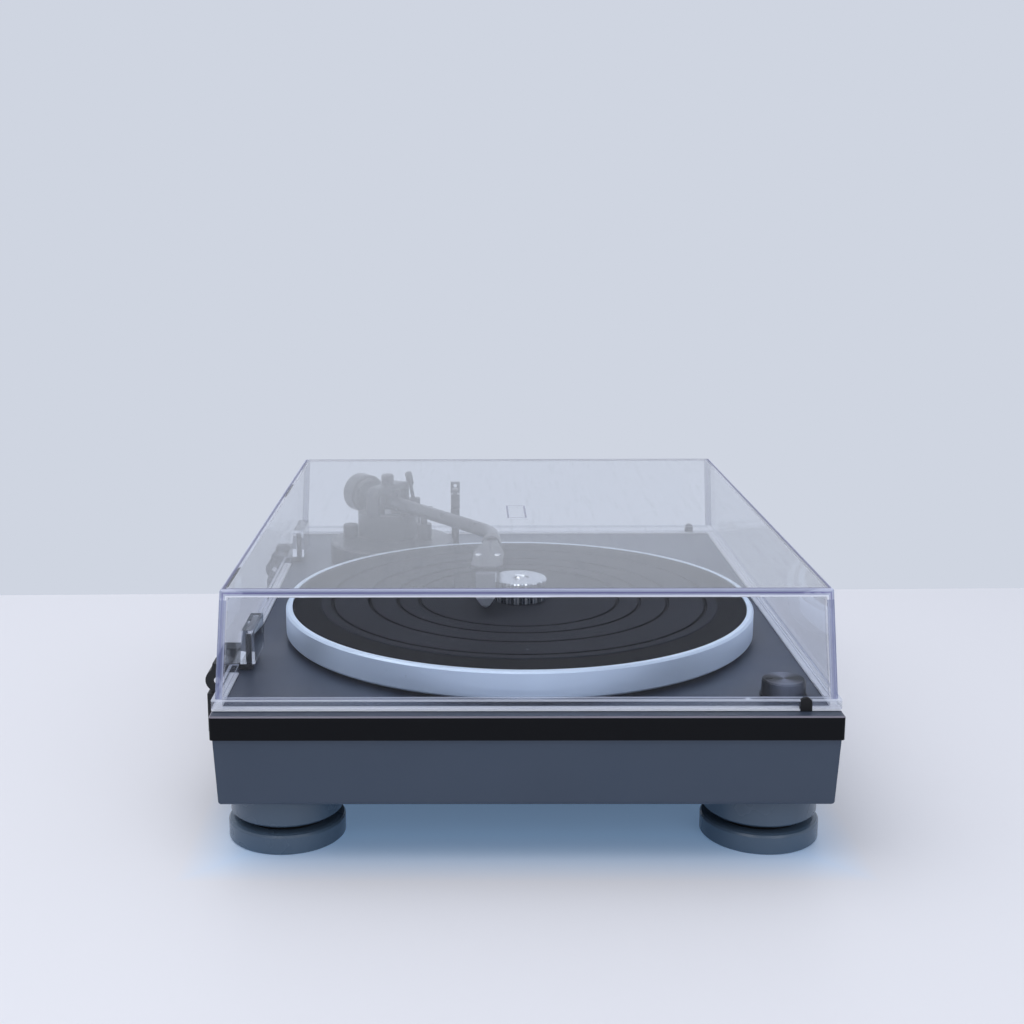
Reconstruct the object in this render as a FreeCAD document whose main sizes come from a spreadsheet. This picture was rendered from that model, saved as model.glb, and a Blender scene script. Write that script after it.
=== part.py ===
import FreeCAD, Part
import math
import os
import re

import Sketcher
from FreeCAD import Placement, Rotation, Vector

# A direct-drive turntable with a J-shaped tonearm under a hinged clear dust cover.
# Millimetres, +Z up, +X to the deck's right, -Y to its front. Z = 0 is the table.
# Positions are measured from the middle of the plinth; the last step, plinth_y,
# moves everything so that the origin lies under the middle of the whole object,
# whose hinges stand out behind the plinth.

SIZES = {
    # plinth
    "plinth_y": -7.55,
    "plate_half_x": 225, "plate_half_y": 176, "plate_low": 74.5, "plate_top": 88.5,
    "plate_bevel": 0.8, "tray_half_x": 223.3, "tray_half_y": 174.6,
    "tray_low_half_x": 221.4, "tray_low_half_y": 172.8, "tray_low": 34.5,
    "tray_floor": 37.5, "tray_round": 2.8, "tray_inner_half_x": 217.5, "tray_inner_half_y": 169,
    "service_half_x": 138, "service_half_y": 150, "port_from_x": -60, "port_to_x": 80,
    "port_low": 44, "port_top": 68, "cover_plate_half_x": 214, "cover_plate_half_y": 166,
    "cover_plate_low": 32.5,
    # feet
    "foot_x": 177.5, "foot_y": 140, "pad_r": 34.5, "pad_top": 12, "pad_edge": 1.8,
    "damper_r": 27, "damper_top": 16, "neck_r": 33, "neck_edge": 1.2,
    "base_screw_r": 2.5, "base_screw_head_r": 5, "base_screw_low": 4, "base_screw_top": 52,
    # platter and motor
    "platter_x": -53, "platter_c": -1, "platter_r": 154, "platter_low": 91.2,
    "platter_top": 108.2, "platter_bevel": 1.2, "rim_inner_r": 138, "web_low": 98,
    "mat_r": 149.5, "mat_low": 106.5, "mat_top": 108.7, "mat_step_r": 131,
    "mat_step_z": 108.15, "mat_groove": 0.9,
    "groove_1_r": 123.2, "groove_2_r": 98.6, "groove_3_r": 80.2, "groove_4_r": 65.8,
    "journal_r": 5, "journal_low": 46, "hub_r": 12, "hub_low": 91, "pin_r": 3.6,
    "pin_top": 121.2, "adapter_r": 19.05, "adapter_top": 120,
    "bearing_r": 9.5, "bearing_low": 42, "bearing_top": 88, "bearing_flange_r": 17,
    "running_gap": 0.05, "stator_low": 74.5, "stator_top": 88, "stator_r": 22,
    "pole_r": 36, "pole_half_w": 4, "magnet_inner_r": 37.5, "magnet_r": 44,
    "magnet_low": 80, "motor_hole_r": 50, "board_r": 58,
    "board_t": 1.6,
    # speed knob
    "knob_x": -191, "knob_c": -148.5, "knob_r": 12.6, "knob_low": 88.9, "knob_top": 99,
    "knob_shaft_r": 3, "knob_shaft_low": 62, "switch_half": 12, "switch_low": 58,
    "lens_x": -197, "lens_c": -127.5, "lens_r": 1.6, "lens_top": 89.1,
    # tonearm base and bearings
    "base_x": 130, "base_c": 93, "base_r": 48.5, "base_top": 103.5, "base_bevel": 1.2,
    "pivot_x": 147, "pivot_c": 97, "arm_z": 131.5, "pillar_r": 24, "pillar_top": 123,
    "well_r": 17, "well_low": 117, "yoke_angle": -29, "yoke_half": 23.7, "yoke_leg": 3.7,
    "yoke_half_w": 5.5, "bar_low": 139.8, "bar_top": 144.6, "yoke_round": 8,
    "cap_r": 5, "cap_top": 152.7, "lower_pin_r": 3, "upper_pin_r": 1.5,
    "gimbal_r": 9.5, "gimbal_low": 117.4, "ear_low": 122, "ear_inner": 6.2,
    "ear_outer": 9.4, "ear_half": 5.5, "bridge_low": 137, "bridge_top": 139.4,
    "tilt_r": 1.5,
    # tonearm
    "arm_angle": 214.8, "tube_r": 5, "tube_bore": 4, "tube_rear": 50, "bend_at": 145,
    "bend_r": 40, "head_turn": -38.1, "tube_end": 34, "collar_from": 27, "collar_to": 40,
    "collar_r": 6.8, "stub_r": 4, "shell_from": 42, "shell_to": 118, "shell_low": 133.4,
    "shell_top": 136.4, "shell_half_w": 10, "shell_taper": 33, "neck_half_w": 4.6, "cartridge_from": 95,
    "cartridge_to": 124.5, "cartridge_low": 120.9, "cartridge_half_w": 6,
    "ear_from": 84, "ear_to": 99, "ear_half_w": 8.4, "ear_t": 3.6,
    "stylus_from": 115, "stylus_to": 126, "stylus_half_w": 6, "tip_at": 118.1,
    "tip_z": 112.6, "mount_hole_half": 6.35, "mount_hole_at": 89, "head_screw_r": 1.25,
    "head_screw_head_r": 2.4,
    # counterweight
    "weight_from": 29.8, "weight_to": 45.6, "weight_r": 15.5, "dial_from": 25.6,
    "dial_to": 29.4, "dial_r": 13.6,
    # cueing and armrest
    "lift_r": 34, "lift_half_w": 1.8, "lift_from": 203, "lift_to": 274, "lift_top": 126.2,
    "lift_low": 123.6, "plunger_angle": 240, "plunger_r": 2.5, "plunger_low": 106,
    "cylinder_r": 6, "cylinder_top": 116, "cue_x": 168.5, "cue_c": 76.6, "cue_r": 5,
    "cue_z": 124, "cue_top": 129, "cue_slot_half": 2, "cue_half_w": 1.6, "cue_lean": 10.5,
    "cue_reach": 24, "cue_grip_r": 2.8, "cue_grip_from": 16, "cue_grip_to": 27,
    "skate_x": 141, "skate_c": 126.6, "skate_r": 6, "skate_top": 113.5,
    "rest_x": 144, "rest_c": 43, "rest_post_r": 3, "rest_low": 112, "rest_floor": 124.6,
    "rest_lip": 126.1, "rest_half_w": 3.5, "rest_left": 136.4, "rest_lip_x": 139.4,
    "rest_wall_x": 149.6, "rest_right": 152.6, "rest_wall_top": 135.4, "clip_z": 138.2,
    "clip_top": 145.6, "clip_half_w": 3.7, "clip_half_t": 1, "lug_half_w": 1.8,
    "clip_pin_r": 0.9,
    # hinges
    "hinge_x": 129.5, "hinge_half_w": 21.5, "hinge_c": 183.9, "hinge_z": 84.5,
    "hinge_pin_r": 2, "knuckle_r": 7.2, "knuckle_w": 12.5, "lug_r": 6.4,
    "bracket_low": 52, "bracket_top": 76, "tongue_low": 89.8, "tongue_top": 93.4,
    "block_top": 95, "blade_front": 163.5, "blade_back": 166.5, "blade_top": 112,
    "blade_half_w": 15.5,
    # dust cover
    "cover_low": 88.9, "cover_top": 157, "cover_low_half_x": 216, "cover_low_half_y": 174.3,
    "cover_top_half_x": 210, "cover_top_half_y": 170, "cover_wall": 3.8, "lip_out": 1.5,
    "lip_top": 94.9, "cover_round": 1.7, "socket_low": 93.9, "socket_top": 115,
    "socket_half_w": 19, "socket_front": 161, "bumper_c": -155.6, "bumper_half_w": 3.3,
    "bumper_top": 96.3,
    # rear sockets
    "panel_y": 169, "panel_t": 2, "port_z": 56, "rca_x": 56, "rca_pitch": 16,
    "rca_r": 4.15, "rca_out": 180, "ground_x": 28, "ground_out": 182, "switch_x": 6,
    "usb_x": -18, "inlet_x": -44, "inlet_r": 2.75,
}

doc = FreeCAD.newDocument("turntable")
sheet = doc.addObject("Spreadsheet::Sheet", "dims")
for row, (alias, size) in enumerate(SIZES.items(), 1):
    sheet.set(f"A{row}", alias)
    sheet.set(f"B{row}", str(size))
    sheet.setAlias(f"B{row}", alias)
doc.recompute()

FUNCTIONS = ("sin", "cos", "tan", "sqrt", "deg", "mm")
SUB_PARTS = []


def bound(formula):
    """Turns words such as plate_top into cells of the sheet."""
    def cell(found):
        word = found.group(0)
        return word if word in FUNCTIONS else "dims." + word
    return re.sub(r"[a-z_][a-z_0-9]*", cell, formula)


def size(alias):
    return float(sheet.get(alias))


def place(part, x="0", y="0", z="0", turn="0", axis=(0, 0, 1)):
    """Places a sub-part and moves it with the plinth."""
    part.Placement = Placement(Vector(0, 0, 0), Rotation(Vector(*axis), 30))
    part.setExpression("Placement.Base.x", bound(x))
    part.setExpression("Placement.Base.y", bound(f"({y}) + plinth_y"))
    part.setExpression("Placement.Base.z", bound(z))
    part.setExpression("Placement.Rotation.Angle", bound(f"({turn}) * 1 deg"))
    SUB_PARTS.append(part)
    return part


def new_body(label):
    part = doc.addObject("PartDesign::Body", label + "_body")
    part.Label = label
    return part


def sketch(part, plane, points=(), circles=(), lift="0"):
    """A fully dimensioned outline of straight lines, with round holes."""
    drawn = part.newObject("Sketcher::SketchObject", "outline")
    planes = part.Origin.OriginFeatures
    drawn.AttachmentSupport = [(next(f for f in planes if f.Role == plane), "")]
    drawn.MapMode = "FlatFace"
    drawn.setExpression("AttachmentOffset.Base.z", bound(lift))
    count = len(points)
    start = [Vector(50 * math.cos(math.tau * i / count), 50 * math.sin(math.tau * i / count))
             for i in range(count)]
    for i in range(count):
        drawn.addGeometry(Part.LineSegment(start[i], start[(i + 1) % count]), False)
    rules = [Sketcher.Constraint("Coincident", i, 2, (i + 1) % count, 1) for i in range(count)]
    for i, corner in enumerate(start):
        rules.append(Sketcher.Constraint("DistanceX", -1, 1, i, 1, corner.x))
        rules.append(Sketcher.Constraint("DistanceY", -1, 1, i, 1, corner.y))
    drawn.addConstraint(rules)
    for i, (across, along) in enumerate(points):
        drawn.setExpression(f"Constraints[{count + 2 * i}]", bound(across))
        drawn.setExpression(f"Constraints[{count + 2 * i + 1}]", bound(along))
    for centre_x, centre_y, radius in circles:
        ring = drawn.addGeometry(Part.Circle(Vector(1, 1), Vector(0, 0, 1), 1), False)
        first = drawn.ConstraintCount
        drawn.addConstraint([Sketcher.Constraint("DistanceX", -1, 1, ring, 3, 1),
                             Sketcher.Constraint("DistanceY", -1, 1, ring, 3, 1),
                             Sketcher.Constraint("Radius", ring, 1)])
        for i, formula in enumerate((centre_x, centre_y, radius)):
            drawn.setExpression(f"Constraints[{first + i}]", bound(formula))
    return drawn


def box_points(half_x, half_y, x="0", y="0"):
    low_x, high_x = f"{x} - ({half_x})", f"{x} + ({half_x})"
    low_y, high_y = f"{y} - ({half_y})", f"{y} + ({half_y})"
    return [(low_x, low_y), (high_x, low_y), (high_x, high_y), (low_x, high_y)]


def span_points(low_x, high_x, low_y, high_y):
    return [(low_x, low_y), (high_x, low_y), (high_x, high_y), (low_x, high_y)]


def pad(part, outline, length, middle=False, back=False):
    made = part.newObject("PartDesign::Pad", "pad")
    made.Profile = outline
    made.setExpression("Length", bound(length))
    made.Midplane = middle
    made.Reversed = back
    return made


def cut(part, outline, length, middle=False, back=False):
    """A pocket that must remove material; up is against the sketch's normal."""
    doc.recompute()
    before = part.Shape.Volume
    made = part.newObject("PartDesign::Pocket", "pocket")
    made.Profile = outline
    made.setExpression("Length", bound(length))
    made.Midplane = middle
    made.Reversed = back
    doc.recompute()
    if not part.Shape.Volume < before:
        raise ValueError(f"a pocket of {part.Label} cuts nothing")
    return made


def turned(part, profile, plane="XZ_Plane", about="V_Axis"):
    outline = sketch(part, plane, profile)
    made = part.newObject("PartDesign::Revolution", "turned")
    made.Profile = outline
    made.ReferenceAxis = (outline, [about])
    made.Angle = 360
    return made


def lathe(label, profile, x="0", y="0", z="0"):
    """A round part about its own Z axis, from pairs of radius and height."""
    part = new_body(label)
    turned(part, profile)
    return place(part, x, y, z)


def slab(label, points, low, thick, circles=(), x="0", y="0", turn="0"):
    part = new_body(label)
    pad(part, sketch(part, "XY_Plane", points, circles, low), thick)
    return place(part, x, y, turn=turn)


def edges(shape, wanted):
    return [f"Edge{i + 1}" for i, edge in enumerate(shape.Edges) if wanted(edge)]


def upright(edge):
    box = edge.BoundBox
    return box.XLength < 1e-6 and box.YLength < 1e-6 and box.ZLength > 1


def along(axis):
    """Picks straight edges that run along one axis of the sub-part."""
    def wanted(edge):
        box = edge.BoundBox
        spans = {"x": box.XLength, "y": box.YLength, "z": box.ZLength}
        return spans.pop(axis) > 0.5 and max(spans.values()) < 1e-6
    return wanted


def soften(part, kind, width, wanted):
    """Rounds (Fillet) or bevels (Chamfer) the chosen edges of the last feature."""
    doc.recompute()
    tip = part.Tip
    local = tip.Shape
    chosen = edges(local, wanted)
    if not chosen:
        raise ValueError(f"no edge of {part.Label} to soften")
    made = part.newObject("PartDesign::" + kind, kind.lower())
    made.Base = (tip, chosen)
    made.setExpression("Radius" if kind == "Fillet" else "Size", bound(width))
    return made


def at_height(z):
    return lambda edge: abs(edge.BoundBox.ZMin - z) < 1e-4 and abs(edge.BoundBox.ZMax - z) < 1e-4


def group(label, parts):
    """Several identical solids that share one node."""
    made = doc.addObject("Part::Compound", label + "_group")
    made.Label = label
    made.Links = parts
    for part in parts:
        if part in SUB_PARTS:
            SUB_PARTS.remove(part)
    SUB_PARTS.append(made)
    return made


def feature(label, shape, x="0", y="0", z="0", turn="0"):
    made = doc.addObject("Part::Feature", label + "_shape")
    made.Label = label
    made.Shape = shape
    return place(made, x, y, z, turn)


# ---------------------------------------------------------------- plinth

def make_top_plate():
    part = new_body("top_plate")
    holes = [("platter_x", "platter_c", "motor_hole_r"),
             ("knob_x", "knob_c", "knob_shaft_r + 2 * running_gap"),
             ("lens_x", "lens_c", "lens_r")]
    pad(part, sketch(part, "XY_Plane", box_points("plate_half_x", "plate_half_y"), holes,
                     "plate_low"), "plate_top - plate_low")
    soften(part, "Fillet", "plate_bevel * 2", upright)
    top = size("plate_top")

    def outer_rim(edge):
        box = edge.BoundBox
        reach = max(abs(box.XMin), abs(box.XMax), abs(box.YMin), abs(box.YMax))
        return at_height(top)(edge) and reach > size("plate_half_y") - 3
    soften(part, "Chamfer", "plate_bevel", outer_rim)
    place(part)


def make_lower_body():
    """A tapered tray with a service opening in its floor and ports at the back."""
    part = new_body("lower_body")
    low = sketch(part, "XY_Plane", box_points("tray_low_half_x", "tray_low_half_y"), (),
                 "tray_low")
    top = sketch(part, "XY_Plane", box_points("tray_half_x", "tray_half_y"), (), "plate_low")
    shell = part.newObject("PartDesign::AdditiveLoft", "outer")
    shell.Profile = low
    shell.Sections = [top]
    shell.Ruled = True
    inner = sketch(part, "XY_Plane", box_points("tray_inner_half_x", "tray_inner_half_y"), (),
                   "plate_low")
    cut(part, inner, "plate_low - tray_floor")
    cut(part, sketch(part, "XY_Plane", box_points("service_half_x", "service_half_y"), (),
                     "tray_floor"), "tray_floor - tray_low")
    ports = span_points("port_from_x", "port_to_x", "port_low", "port_top")
    cut(part, sketch(part, "XZ_Plane", ports, (), "-tray_inner_half_y + 1"), "10")
    screws = [(f"{i} * foot_x", f"{j} * foot_y", "base_screw_r") for i in (-1, 1)
              for j in (-1, 1)]
    cut(part, sketch(part, "XY_Plane", (), screws, "tray_floor"), "tray_floor - tray_low")

    def outer_rim(edge):
        box = edge.BoundBox
        reach = max(abs(box.XMin), abs(box.XMax), abs(box.YMin), abs(box.YMax))
        return at_height(size("tray_low"))(edge) and reach > size("tray_low_half_y") - 1 and (
            along("x")(edge) or along("y")(edge))
    soften(part, "Fillet", "tray_round", outer_rim)
    place(part)


def make_bottom_cover():
    part = new_body("bottom_cover")
    pad(part, sketch(part, "XY_Plane", box_points("cover_plate_half_x", "cover_plate_half_y"),
                     (), "cover_plate_low"), "tray_low - cover_plate_low")
    corners = [(f"{i} * foot_x", f"{j} * foot_y", "neck_r + 1.5") for i in (-1, 1)
               for j in (-1, 1)]
    cut(part, sketch(part, "XY_Plane", (), corners, "tray_low"), "tray_low - cover_plate_low")
    corner = [(f"{i} * cover_plate_half_x", f"{j} * cover_plate_half_y") for i in (-1, 1)
              for j in (-1, 1)]
    for across, depth in corner:
        piece = box_points("neck_r + 3", "26", across, depth)
        cut(part, sketch(part, "XY_Plane", piece, (), "tray_low"),
            "tray_low - cover_plate_low")
    place(part)


def make_feet():
    pad_profile = [("base_screw_head_r + 0.6", "0"), ("pad_r - 0.8", "0"), ("pad_r", "0.8"),
                   ("pad_r", "pad_top - pad_edge"), ("pad_r - pad_edge * 0.5",
                                                     "pad_top - pad_edge * 0.3"),
                   ("pad_r - pad_edge * 1.6", "pad_top"), ("base_screw_r", "pad_top"),
                   ("base_screw_r", "base_screw_low + 3"),
                   ("base_screw_head_r + 0.6", "base_screw_low + 3")]
    neck_profile = [("base_screw_r", "damper_top"), ("neck_r - neck_edge", "damper_top"),
                    ("neck_r", "damper_top + neck_edge"), ("neck_r", "tray_low - 4"),
                    ("neck_r + 0.8", "tray_low"), ("base_screw_r", "tray_low")]
    damper_profile = [("base_screw_r", "pad_top"), ("damper_r - 1", "pad_top"),
                      ("damper_r", "(pad_top + damper_top) / 2"),
                      ("damper_r - 1", "damper_top"), ("base_screw_r", "damper_top")]
    screw_profile = [("0", "base_screw_low"), ("base_screw_head_r", "base_screw_low"),
                     ("base_screw_head_r", "base_screw_low + 3"),
                     ("base_screw_r", "base_screw_low + 3"), ("base_screw_r", "base_screw_top"),
                     ("0", "base_screw_top")]
    dampers = []
    screws = []
    for side, across in (("left", "-foot_x"), ("right", "foot_x")):
        for end, depth in (("front", "-foot_y"), ("rear", "foot_y")):
            lathe(f"foot_pad_{end}_{side}", pad_profile, across, depth)
            lathe(f"foot_neck_{end}_{side}", neck_profile, across, depth)
            dampers.append(lathe(f"foot_damper_{end}_{side}", damper_profile, across, depth))
            screws.append(lathe(f"base_screw_{end}_{side}", screw_profile, across, depth))
    group("foot_dampers", dampers)
    group("base_screws", screws)


# ---------------------------------------------------------------- platter and motor

def make_platter():
    here = ("platter_x", "platter_c")
    lathe("platter", [
        ("pin_r", "web_low"), ("rim_inner_r", "web_low"), ("rim_inner_r", "platter_low"),
        ("platter_r - 1.2", "platter_low"), ("platter_r", "platter_low + 1.2"),
        ("platter_r", "platter_top - platter_bevel"), ("platter_r - platter_bevel",
                                                       "platter_top"),
        ("mat_r + 0.3", "platter_top"), ("mat_r + 0.3", "mat_low"), ("pin_r", "mat_low")], *here)
    mat = [("pin_r + 0.1", "mat_low"), ("mat_r", "mat_low"), ("mat_r", "mat_step_z - 0.4"),
           ("mat_r - 0.4", "mat_step_z"), ("mat_step_r", "mat_step_z"),
           ("mat_step_r - 0.5", "mat_top")]
    for radius in ("groove_1_r", "groove_2_r", "groove_3_r", "groove_4_r"):
        mat += [(f"{radius} + 1.1", "mat_top"), (f"{radius} + 0.6", "mat_top - mat_groove"),
                (f"{radius} - 0.6", "mat_top - mat_groove"), (f"{radius} - 1.1", "mat_top")]
    mat += [("pin_r + 0.1", "mat_top")]
    lathe("platter_mat", mat, *here)
    lathe("spindle", [
        ("0", "journal_low"), ("journal_r - 0.6", "journal_low"),
        ("journal_r", "journal_low + 0.6"), ("journal_r", "hub_low"), ("hub_r", "hub_low"),
        ("hub_r", "web_low"), ("pin_r", "web_low"), ("pin_r", "pin_top - 3.4"),
        ("pin_r - 0.7", "pin_top - 1.4"), ("pin_r - 2", "pin_top - 0.3"), ("0", "pin_top")],
        *here)
    lathe("rotor_magnet", [
        ("magnet_inner_r", "magnet_low"), ("magnet_r", "magnet_low"), ("magnet_r", "web_low"),
        ("magnet_inner_r", "web_low")], *here)
    lathe("adapter_45", [
        ("pin_r + 0.1", "mat_top"), ("adapter_r - 0.6", "mat_top"),
        ("adapter_r", "mat_top + 0.6"), ("adapter_r", "adapter_top - 0.9"),
        ("adapter_r - 0.9", "adapter_top"), ("pin_r + 3.4", "adapter_top"),
        ("pin_r + 2.6", "adapter_top - 0.8"), ("pin_r + 0.1", "adapter_top - 0.8")], *here)


def make_motor():
    here = ("platter_x", "platter_c")
    lathe("bearing_housing", [
        ("0", "bearing_low"), ("bearing_r", "bearing_low"), ("bearing_r", "stator_low - board_t - 4"),
        ("bearing_flange_r", "stator_low - board_t - 4"), ("bearing_flange_r", "stator_low - board_t"),
        ("bearing_r", "stator_low - board_t"), ("bearing_r", "bearing_top"),
        ("journal_r + running_gap", "bearing_top"),
        ("journal_r + running_gap", "journal_low - 0.3"), ("0", "journal_low - 0.3")], *here)
    ring = ("0", "0", "stator_r")
    bore = ("0", "0", "bearing_r")
    part = new_body("motor_stator")
    board = ("0", "0", "board_r")
    pad(part, sketch(part, "XY_Plane", (), [board, bore], "stator_low - board_t"), "board_t")
    pad(part, sketch(part, "XY_Plane", (), [ring, bore], "stator_low"),
        "stator_top - stator_low")
    doc.recompute()
    pole = pad(part, sketch(part, "XY_Plane", span_points("stator_r - 2", "pole_r",
                                                          "-pole_half_w", "pole_half_w"), (),
                            "stator_low + 2"), "stator_top - stator_low - 3")
    doc.recompute()
    poles = part.newObject("PartDesign::PolarPattern", "poles")
    poles.Originals = [pole]
    poles.Axis = (pole.Profile[0], ["N_Axis"])
    poles.Angle = 360
    poles.Occurrences = 9
    part.Tip = poles
    place(part, *here)


def make_main_board():
    """A circuit board on four spacers, with its transformer and capacitors."""
    part = new_body("main_board")
    board_low = "tray_floor + 6"
    pad(part, sketch(part, "XY_Plane", box_points("48", "36"), (), board_low), "1.6")
    spacers = [(f"{i} * 42", f"{j} * 30", "3") for i in (-1, 1) for j in (-1, 1)]
    for spacer in spacers:
        pad(part, sketch(part, "XY_Plane", (), [spacer], board_low), "6", back=True)
    top_of_board = board_low + " + 1.6"
    pad(part, sketch(part, "XY_Plane", box_points("12", "10", "-24", "8"), (), top_of_board),
        "16")
    for across in ("2", "16", "30"):
        pad(part, sketch(part, "XY_Plane", (), [(across, "12", "5")], top_of_board), "14")
    pad(part, sketch(part, "XY_Plane", box_points("10", "10", "18", "-14"), (), top_of_board),
        "2.4")
    place(part, "177.5 - 14", "60")


def make_controls():
    here = ("knob_x", "knob_c")
    part = new_body("speed_knob")
    turned(part, [
        ("0", "knob_shaft_low"), ("knob_shaft_r", "knob_shaft_low"),
        ("knob_shaft_r", "knob_low"), ("knob_r + 0.9", "knob_low"),
        ("knob_r + 0.9", "knob_low + 1"), ("knob_r", "knob_low + 1.5"),
        ("knob_r - 0.3", "knob_top - 0.8"), ("knob_r - 1.1", "knob_top"), ("0", "knob_top")])
    mark = span_points("-0.5", "0.5", "knob_r - 6", "knob_r - 2")
    cut(part, sketch(part, "XY_Plane", mark, (), "knob_top"), "0.4")
    place(part, *here)
    slab("speed_switch", box_points("switch_half", "switch_half"), "switch_low",
         "plate_low - switch_low", [("0", "0", "knob_shaft_r + running_gap")], *here)
    lathe("indicator_lens", [
        ("0", "plate_low"), ("lens_r", "plate_low"), ("lens_r", "lens_top - 0.3"),
        ("lens_r - 0.5", "lens_top"), ("0", "lens_top")], "lens_x", "lens_c")


# ---------------------------------------------------------------- tonearm

def make_arm_base():
    """The round base, with the cue lift's cylinder standing on it."""
    part = new_body("arm_base")
    turned(part, [
        ("0", "plate_top"), ("base_r", "plate_top"), ("base_r", "base_top - base_bevel"),
        ("base_r - base_bevel", "base_top"), ("0", "base_top")])
    plunger = ("pivot_x - base_x + lift_r * cos(plunger_angle * 1 deg)",
               "pivot_c - base_c + lift_r * sin(plunger_angle * 1 deg)")
    pad(part, sketch(part, "XY_Plane", (), [(*plunger, "cylinder_r")], "base_top - 1"),
        "cylinder_top - base_top + 1")
    cut(part, sketch(part, "XY_Plane", (), [(*plunger, "plunger_r + running_gap")],
                     "cylinder_top"), "cylinder_top - base_top + 6")
    place(part, "base_x", "base_c")


def make_arm_bearings():
    here = ("pivot_x", "pivot_c")
    lathe("arm_pillar", [
        ("0", "base_top"), ("pillar_r", "base_top"), ("pillar_r", "pillar_top - 0.8"),
        ("pillar_r - 0.8", "pillar_top"), ("well_r", "pillar_top"), ("well_r", "well_low"),
        ("lower_pin_r + running_gap", "well_low"), ("lower_pin_r + running_gap", "base_top + 2"),
        ("0", "base_top + 2")], *here)
    yoke = new_body("bearing_yoke")
    arch = [("-yoke_half", "pillar_top"), ("-yoke_half + yoke_leg", "pillar_top"),
            ("-yoke_half + yoke_leg", "bar_low - 2"), ("-yoke_half + yoke_leg + 2", "bar_low"),
            ("yoke_half - yoke_leg - 2", "bar_low"), ("yoke_half - yoke_leg", "bar_low - 2"),
            ("yoke_half - yoke_leg", "pillar_top"), ("yoke_half", "pillar_top"),
            ("yoke_half", "bar_top"), ("-yoke_half", "bar_top")]
    pad(yoke, sketch(yoke, "XZ_Plane", arch), "2 * yoke_half_w", middle=True)
    soften(yoke, "Fillet", "yoke_round",
           lambda edge: along("y")(edge) and abs(edge.BoundBox.ZMax - size("bar_top")) < 1e-4)
    cut(yoke, sketch(yoke, "XY_Plane", (), [("0", "0", "lower_pin_r")], "bar_top"), "8")
    place(yoke, *here, turn="yoke_angle")
    lathe("yoke_cap", [
        ("upper_pin_r + running_gap", "bar_low"), ("lower_pin_r", "bar_low"),
        ("lower_pin_r", "bar_top"), ("cap_r", "bar_top"), ("cap_r", "cap_top - 1.2"),
        ("cap_r - 1.2", "cap_top"), ("0", "cap_top"), ("0", "bar_low + 3.6"),
        ("upper_pin_r + running_gap", "bar_low + 3.6")], *here)
    gimbal = new_body("gimbal")
    pad(gimbal, sketch(gimbal, "XY_Plane", (), [("0", "0", "gimbal_r")], "gimbal_low"),
        "ear_low - gimbal_low")
    for side in ("", "-"):
        ear = [("-ear_half", side + "ear_inner"), ("ear_half", side + "ear_inner"),
               ("ear_half", side + "ear_outer"), ("-ear_half", side + "ear_outer")]
        pad(gimbal, sketch(gimbal, "XY_Plane", ear, (), "ear_low - 1"),
            "bridge_top - ear_low + 1")
    pad(gimbal, sketch(gimbal, "XY_Plane", box_points("ear_half", "ear_outer"), (),
                       "bridge_low"), "bridge_top - bridge_low")
    pad(gimbal, sketch(gimbal, "XY_Plane", (), [("0", "0", "lower_pin_r")],
                       "gimbal_low + 1"), "gimbal_low + 1 - base_top - 3", back=True)
    pad(gimbal, sketch(gimbal, "XY_Plane", (), [("0", "0", "upper_pin_r")],
                       "bridge_top - 1"), "4.2")
    cut(gimbal, sketch(gimbal, "XZ_Plane", (), [("0", "arm_z", "tilt_r + running_gap")]),
        "3 * ear_outer", middle=True)
    place(gimbal, *here, turn="arm_angle")
    axle = new_body("tilt_axle")
    pad(axle, sketch(axle, "XZ_Plane", (), [("0", "arm_z", "tilt_r")]),
        "2 * ear_outer + 1", middle=True)
    place(axle, *here, turn="arm_angle")


def make_arm_tube():
    """A hollow tube along a straight run, one bend and a shorter straight run."""
    turn = math.radians(size("head_turn"))
    trim = size("bend_r") * math.tan(abs(turn) / 2)
    corner = Vector(size("bend_at"), 0, 0)
    ahead = Vector(math.cos(turn), math.sin(turn), 0)
    rear = Vector(-size("tube_rear"), 0, 0)
    bend_from = corner - Vector(trim, 0, 0)
    bend_to = corner + ahead * trim
    end = corner + ahead * size("tube_end")
    across = Vector(0, math.copysign(size("bend_r"), turn), 0)
    centre = bend_from + across
    middle_angle = turn / 2 - math.copysign(math.pi / 2, turn)
    middle = centre + Vector(math.cos(middle_angle), math.sin(middle_angle), 0) * size("bend_r")

    def path():
        return Part.Wire([Part.LineSegment(rear, bend_from).toShape(),
                          Part.Arc(bend_from, middle, bend_to).toShape(),
                          Part.LineSegment(bend_to, end).toShape()])

    def swept(radius):
        ring = Part.Wire([Part.Circle(rear, Vector(1, 0, 0), radius).toShape()])
        return path().makePipeShell([ring], True, False)
    tube = swept(size("tube_r")).cut(swept(size("tube_bore")))
    plug = Part.makeCylinder(size("tube_bore"), 12, Vector(-6, 0, 0), Vector(1, 0, 0))
    axle = Part.makeCylinder(size("tilt_r"), 20, Vector(0, -10, 0), Vector(0, 1, 0))
    tube = tube.fuse(plug).cut(axle).removeSplitter()
    feature("arm_tube", tube, "pivot_x", "pivot_c", "arm_z", "arm_angle")


# the bend's corner, and the direction of the head beyond it
BEND_X = "pivot_x + bend_at * cos(arm_angle * 1 deg)"
BEND_Y = "pivot_c + bend_at * sin(arm_angle * 1 deg)"
HEAD_ANGLE = "arm_angle + head_turn"


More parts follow.
